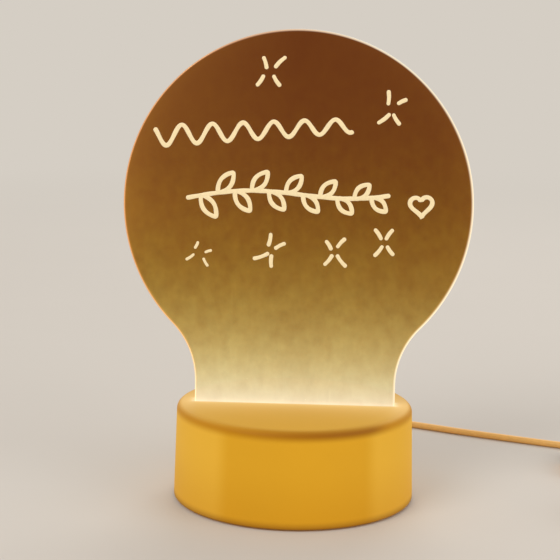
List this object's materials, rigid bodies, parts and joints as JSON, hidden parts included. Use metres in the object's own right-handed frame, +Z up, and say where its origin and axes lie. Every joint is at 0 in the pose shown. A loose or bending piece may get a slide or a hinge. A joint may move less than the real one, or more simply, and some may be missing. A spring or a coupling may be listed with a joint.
{
  "type": "led writing board",
  "caption": "Edge-lit clear writing panel with a light-bulb outline, standing in the slot of a low round base, with a USB lead and in-line push switch.",
  "frame": {"origin": "on the table under the middle of the base", "axes": "+X along the panel, to the right of someone who reads it; -Y is the front; +Z up"},
  "size_m": [0.242, 0.1677, 0.1856],
  "materials": {
    "acrylic": "clear cast sheet, polished, edge lit",
    "housing": "fine satin moulded plastic, warm ivory in the lamp's light",
    "steel": "nickel plated",
    "rubber": "matt",
    "circuit_board": "white solder resist",
    "led": "clear resin over phosphor",
    "resistor": "dull",
    "cord": "smooth extruded jacket",
    "wire_red": "smooth",
    "wire_black": "smooth",
    "button": "satin",
    "contact": "gold flashed",
    "tie": "matt strap",
    "marker": "chalk marker ink, drawn on the sheet's front face"
  },
  "bodies": {
    "base": {"base_shell": "housing", "bottom_cover": "housing", "cover_screw_1": "steel", "cover_screw_2": "steel", "cover_screw_3": "steel", "cover_screw_4": "steel", "foot_1": "rubber", "foot_2": "rubber", "foot_3": "rubber", "foot_4": "rubber", "led_board": "circuit_board", "led_1": "led", "led_2": "led", "led_3": "led", "led_4": "led", "led_5": "led", "led_6": "led", "led_7": "led", "led_8": "led", "resistor_1": "resistor", "resistor_2": "resistor", "resistor_3": "resistor", "board_screw_left": "steel", "board_screw_right": "steel", "strain_relief": "cord", "cord_inner_end": "cord", "wire_red": "wire_red", "wire_black": "wire_black", "cord_run": "cord", "cord_lead": "cord", "cord_coil": "cord", "coil_tie": "tie", "cord_to_plug": "cord", "switch_case_upper": "housing", "switch_case_lower": "housing", "switch_contact_block": "resistor", "plug_overmould": "cord", "plug_shell": "steel", "plug_tongue": "circuit_board", "plug_contact_1": "contact", "plug_contact_2": "contact", "plug_contact_3": "contact", "plug_contact_4": "contact"},
    "panel": {"acrylic_panel": "acrylic"},
    "button": {"switch_button": "button"}
  },
  "joints": [
    {"name": "panel_lift", "type": "slide", "parent": "base", "child": "panel", "axis": [0, 0, 1], "range_m": [0, 0.016]},
    {"name": "switch_press", "type": "slide", "parent": "base", "child": "button", "axis": [0, 0, -1], "range_m": [0, 0.0015], "stiffness_N_per_m": 400}
  ]
}
